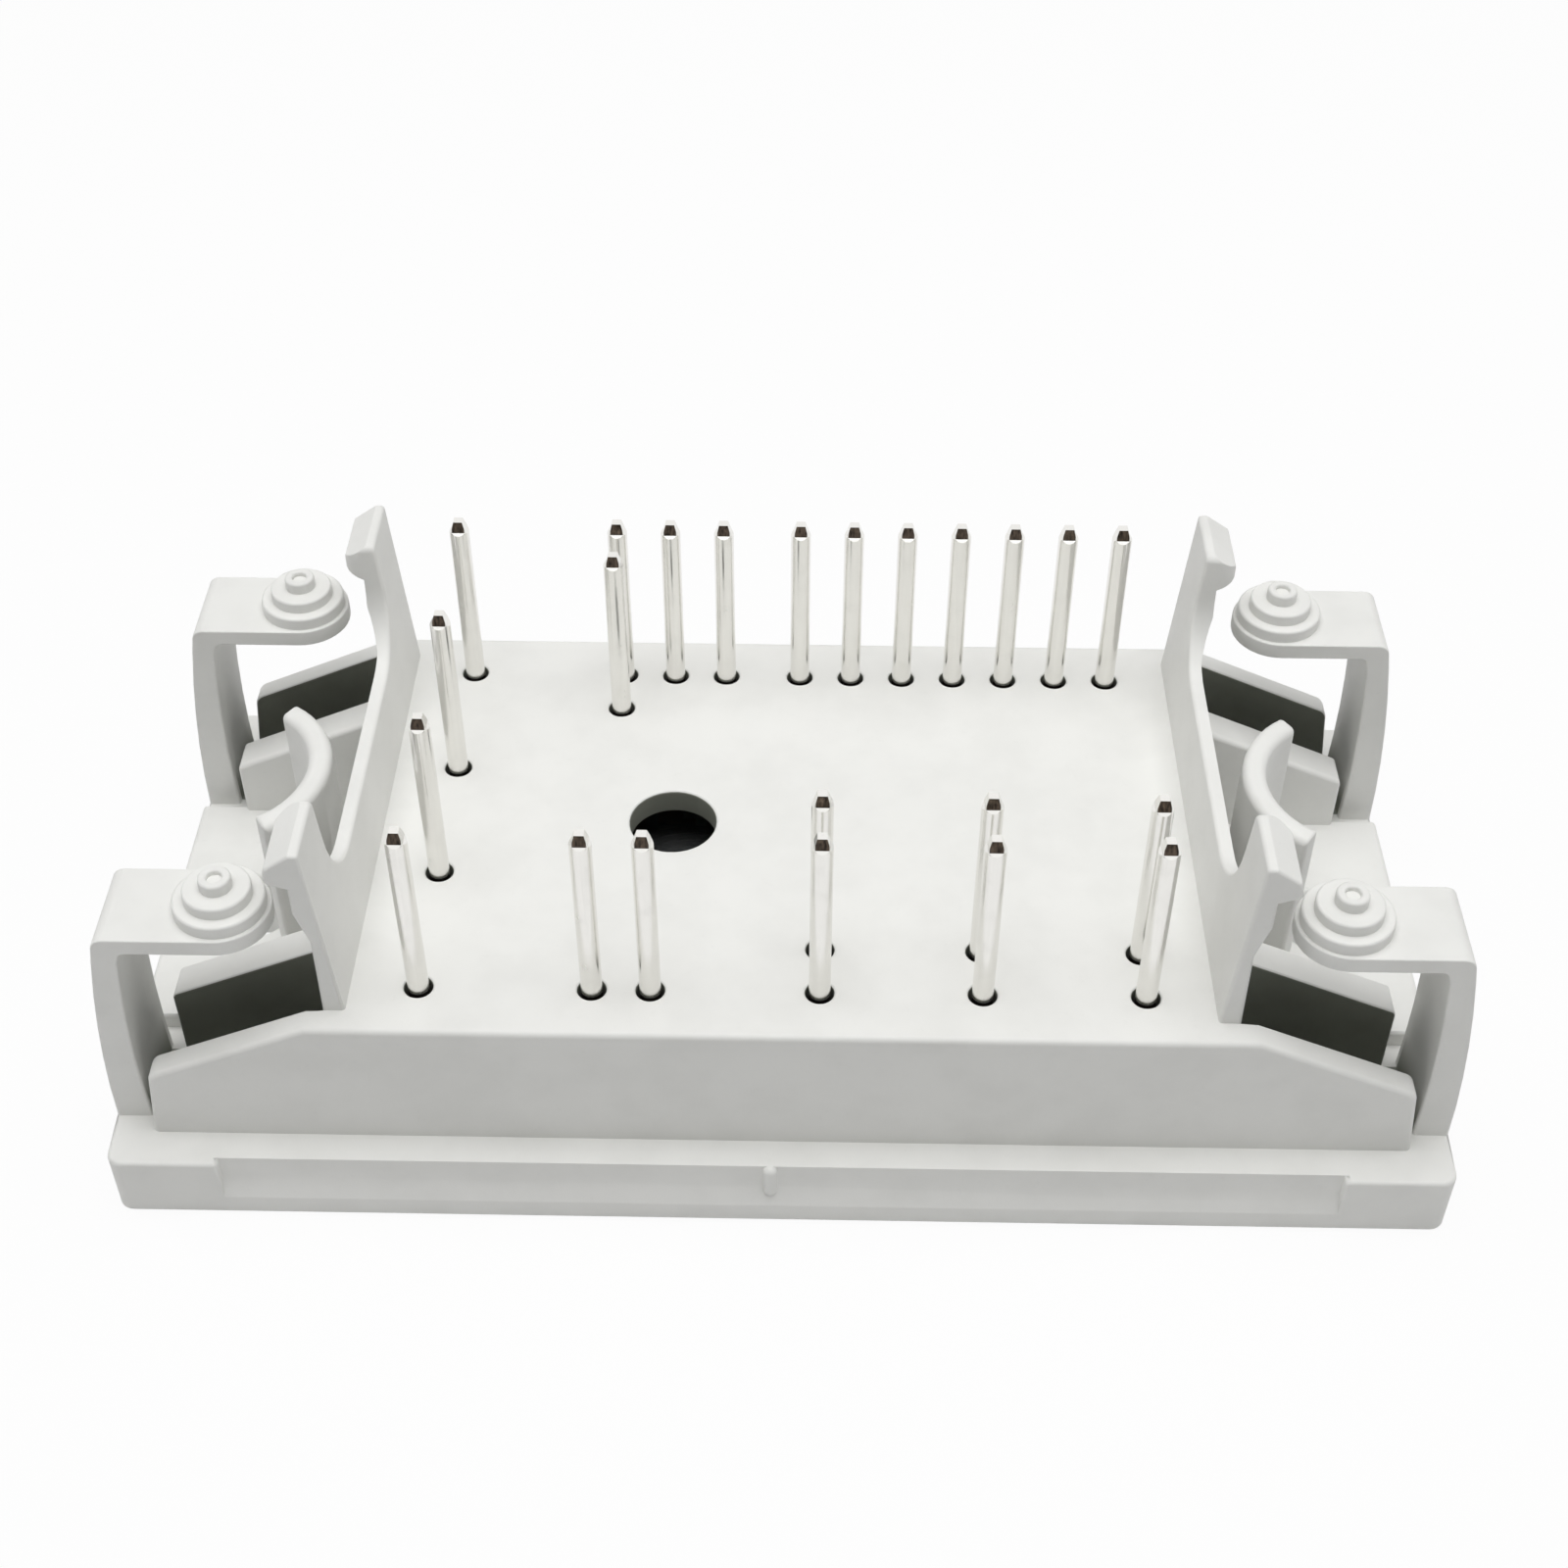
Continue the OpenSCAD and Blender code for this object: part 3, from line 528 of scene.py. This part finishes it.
def rounding_of(edge, look, outline_of):
    """Rounding that a housing edge gets, in millimetres, as far as the faces beside it have room."""
    if len(edge.link_faces) != 2 or not edge.is_convex or edge.calc_face_angle(0.0) < SHARP:
        return 0.0
    full = full_rounding((edge.verts[0].co + edge.verts[1].co) / 2, look)
    if full == 0.0:
        return 0.0
    return min([full] + [ROOM_SHARE * room_beside(edge, face, outline_of[face]) for face in edge.link_faces])


def roundings(mesh, look):
    """Rounding of each edge; edges that run on smoothly share the smallest one among them."""
    outline_of = flat_outlines(mesh)
    widths = {edge: rounding_of(edge, look, outline_of) for edge in mesh.edges}
    waiting = sorted((edge for edge in mesh.edges if widths[edge] > 0), key=lambda edge: widths[edge])
    for edge in waiting:
        run = [edge]
        while run:
            last = run.pop()
            for corner in last.verts:
                for other in corner.link_edges:
                    if other is not last and widths[other] > widths[edge] and runs_on(last, other):
                        widths[other] = widths[edge]
                        run.append(other)
    return widths


class MODULE_OT_housing(bpy.types.Operator):
    """Housing: the moulding with rounded edges, and painted shade on the walls of its pockets and holes"""

    bl_idname = "module.housing"
    bl_label = "Housing"

    def execute(self, context):
        look = context.scene.module_finish
        piece = copy_of_node("housing", "housing_shell")
        self.weigh_edges(piece, look)
        self.round_edges(piece, look)
        self.paint(piece, look)
        self.smooth(piece)
        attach(piece, BODY)
        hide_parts("housing")
        return {"FINISHED"}

    @staticmethod
    def weigh_edges(piece, look):
        """Merges the mesh, in millimetres, and gives each edge its share of the widest rounding."""
        bpy.ops.object.mode_set(mode="EDIT")
        scale_open_mesh(METRE)
        bpy.ops.mesh.remove_doubles(threshold=WELD)
        bpy.ops.mesh.dissolve_limited(angle_limit=ONE_PLANE)
        mesh = bmesh.from_edit_mesh(piece.data)
        weight = mesh.edges.layers.float.new("bevel_weight_edge")
        for edge, width in roundings(mesh, look).items():
            edge[weight] = width / look.screen_round
        bmesh.update_edit_mesh(piece.data)
        bpy.ops.object.mode_set(mode="OBJECT")

    @staticmethod
    def round_edges(piece, look):
        """Rounds the edges by their weights."""
        rounding = piece.modifiers.new("Rounding", "BEVEL")
        rounding.limit_method = "WEIGHT"
        rounding.width = look.screen_round
        rounding.segments = ROUND_SEGMENTS
        rounding.use_clamp_overlap = False
        rounding.loop_slide = False
        bpy.ops.object.modifier_apply(modifier="Rounding")

    def paint(self, piece, look):
        """Gives the moulding its plastic, and the faces with painted shade, in the pockets and holes, a dark
        plastic of their own.
        """
        give([piece], moulded_plastic("moulded_plastic", look.plastic, look.plastic_shade, look))
        # The second plastic is painted shade: the pocket tone, mottled a little darker
        mottle = (*(c * PAINTED_SHADE_MOTTLE for c in look.painted_pocket_shade[:3]), 1)
        piece.data.materials.append(moulded_plastic("pocket_plastic", look.painted_pocket_shade, mottle, look))
        for face in piece.data.polygons:
            face.material_index = 1 if self.is_painted_shade(face) else 0

    @staticmethod
    def smooth(piece):
        """Brings the mesh back to metres and shades its roundings smooth and its flats flat."""
        bpy.ops.object.mode_set(mode="EDIT")
        scale_open_mesh(MM)
        bpy.ops.object.mode_set(mode="OBJECT")
        bpy.ops.object.shade_smooth_by_angle(angle=SHARP)
        piece.modifiers.new("Flats", "WEIGHTED_NORMAL").keep_sharp = True
        bpy.ops.object.modifier_apply(modifier="Flats")

    @staticmethod
    def is_painted_shade(face):
        """Whether a face gets painted shade: a long wall of a pocket, or a wall inside a hole of the top."""
        x, y, z = (abs(v) for v in face.center)
        long_wall = abs(face.normal.y) > 0.9 and (near(y, RIB, 0.05) or near(y, WING, 0.05))
        painted_pocket_shade = long_wall and SIDE_WALL < x < LEG - 0.1 and z < TOP_FACE
        upright = abs(face.normal.z) < 0.5
        hole = upright and x < PIN_FIELD_L and y < PIN_FIELD_W and TOP_FACE - 1.4 < z < TOP_FACE
        return painted_pocket_shade or hole


class MODULE_OT_pins(bpy.types.Operator):
    """Pins: tinned wire with painted shade inside the holes, and dark flats at the pressed tips that are bare
    metal with a painted reflection
    """

    bl_idname = "module.pins"
    bl_label = "Contact pins"

    def execute(self, context):
        give([NODES[n] for n in PIN_NODES], tinned_wire(context.scene.module_finish))
        return {"FINISHED"}


class MODULE_OT_substrate(bpy.types.Operator):
    """Substrate: ceramic plate with copper on both sides"""

    bl_idname = "module.substrate"
    bl_label = "Substrate"

    def execute(self, context):
        copper = bonded_copper(context.scene.module_finish)
        give([NODES["heat_sink_copper"], NODES["circuit_tracks"]], copper)
        give([NODES["ceramic_substrate"]], sintered("white_ceramic", WHITE_CERAMIC, roughness=0.35))
        return {"FINISHED"}


class MODULE_OT_contents(bpy.types.Operator):
    """Contents: chips, ribbons, sealant and gel inside the housing"""

    bl_idname = "module.contents"
    bl_label = "Chips and gel"

    def execute(self, context):
        give([NODES[n] for n in CHIP_NODES], sintered("chip_silicon", SILICON, roughness=0.16))
        give([NODES["thermistor"]], sintered("thermistor_ceramic", THERMISTOR, roughness=0.4))
        give([NODES["bond_ribbons"]], rolled_aluminium())
        give([NODES["adhesive_bead"]], soft_sealant())
        give([NODES["silicone_gel"]], clear_gel())
        return {"FINISHED"}


class MODULE_OT_stage(bpy.types.Operator):
    """Stage: pale floor, white surroundings, soft lamps and the camera"""

    bl_idname = "module.stage"
    bl_label = "Stage"

    def execute(self, context):
        look = context.scene.module_stage
        self.floor()
        self.surroundings(context.scene, look)
        for name, power, size, place, target in LAMPS:
            self.lamp(name, getattr(look, power), size, place, target)
        self.camera(context.scene, look)
        context.scene.view_settings.view_transform = "Standard"
        return {"FINISHED"}

    @staticmethod
    def seen(s):
        """One where the camera, a mirror or a clear piece looks, else zero."""
        camera = s.add("ShaderNodeLightPath", outlet="Is Camera Ray")
        glossy = s.add("ShaderNodeLightPath", outlet="Is Glossy Ray")
        clear = s.add("ShaderNodeLightPath", outlet="Is Transmission Ray")
        return (camera + glossy + clear) > 0.5

    def floor(self):
        """Pale paper that keeps the module's shadow and turns all white further away."""
        bpy.ops.object.select_all(action="DESELECT")
        bpy.ops.mesh.primitive_plane_add(size=FLOOR_SIZE, location=(0, 0, 0))
        floor = bpy.context.active_object
        floor.name = "floor"
        s = new_sheet("floor_paper")
        lit = s.add("ShaderNodeBsdfDiffuse", None, {"Color": FLOOR_PAPER})
        white = s.add("ShaderNodeEmission", None, {"Color": WHITE, "Strength": 1.0})
        distance = s.add("ShaderNodeVectorMath", {"operation": "LENGTH"}, {0: s.place()}, outlet="Value")
        share = FLOOR_WHITE + s.ramp(distance, *FLOOR_FADE) * (1 - FLOOR_WHITE)
        shown = s.add("ShaderNodeMixShader", None, {0: self.seen(s) * share, 1: lit, 2: white})
        s.add("ShaderNodeOutputMaterial", None, {"Surface": shown})
        give([floor], s.owner)

    def surroundings(self, scene, look):
        """A weak even light on the module, and plain white where the camera looks."""
        s = Sheet(bpy.data.worlds.new("studio"))
        light = s.add("ShaderNodeBackground", None, {"Color": WHITE, "Strength": look.sky})
        white = s.add("ShaderNodeBackground", None, {"Color": WHITE, "Strength": 1.0})
        both = s.add("ShaderNodeMixShader", None, {0: self.seen(s), 1: light, 2: white})
        s.add("ShaderNodeOutputWorld", None, {"Surface": both})
        scene.world = s.owner

    @staticmethod
    def lamp(name, power, size, place, target):
        """A square soft lamp that faces its target."""
        data = bpy.data.lights.new(name, "AREA")
        data.energy = power
        data.size = size
        lamp = bpy.data.objects.new(name, data)
        bpy.context.scene.collection.objects.link(lamp)
        lamp.location = place
        lamp.rotation_euler = (Vector(target) - Vector(place)).to_track_quat("-Z", "Y").to_euler()

    @staticmethod
    def camera(scene, look):
        """The camera at the place that the photograph was taken from."""
        data = bpy.data.cameras.new("photo_camera")
        data.sensor_width = SENSOR_WIDTH
        data.lens = look.lens
        data.clip_start = CAMERA_NEAR
        camera = bpy.data.objects.new("photo_camera", data)
        scene.collection.objects.link(camera)
        camera.location = CAMERA_PLACE
        camera.rotation_euler = [math.radians(turn) for turn in CAMERA_TURN]
        scene.camera = camera


class MODULE_PT_panel(bpy.types.Panel):
    """Lists the module's pieces in the sidebar"""

    bl_idname = "MODULE_PT_panel"
    bl_label = "Rectifier module"
    bl_space_type = "VIEW_3D"
    bl_region_type = "UI"
    bl_category = "Module"

    def draw(self, context):
        layout = self.layout
        for group in (context.scene.module_finish, context.scene.module_stage):
            for key in group.bl_rna.properties.keys():
                if key not in ("rna_type", "name"):
                    layout.prop(group, key)
        for operator in OPERATORS:
            layout.operator(operator.bl_idname)


OPERATORS = (MODULE_OT_housing, MODULE_OT_pins, MODULE_OT_substrate, MODULE_OT_contents, MODULE_OT_stage)
CLASSES = (ModuleFinish, ModuleStage, *OPERATORS, MODULE_PT_panel)


def register():
    for cls in CLASSES:
        bpy.utils.register_class(cls)
    bpy.types.Scene.module_finish = bpy.props.PointerProperty(type=ModuleFinish)
    bpy.types.Scene.module_stage = bpy.props.PointerProperty(type=ModuleStage)


def unregister():
    del bpy.types.Scene.module_stage
    del bpy.types.Scene.module_finish
    for cls in reversed(CLASSES):
        bpy.utils.unregister_class(cls)


def main():
    register()
    bpy.ops.module.housing()
    bpy.ops.module.pins()
    bpy.ops.module.substrate()
    bpy.ops.module.contents()
    bpy.ops.module.stage()


if __name__ == "__main__":
    main()
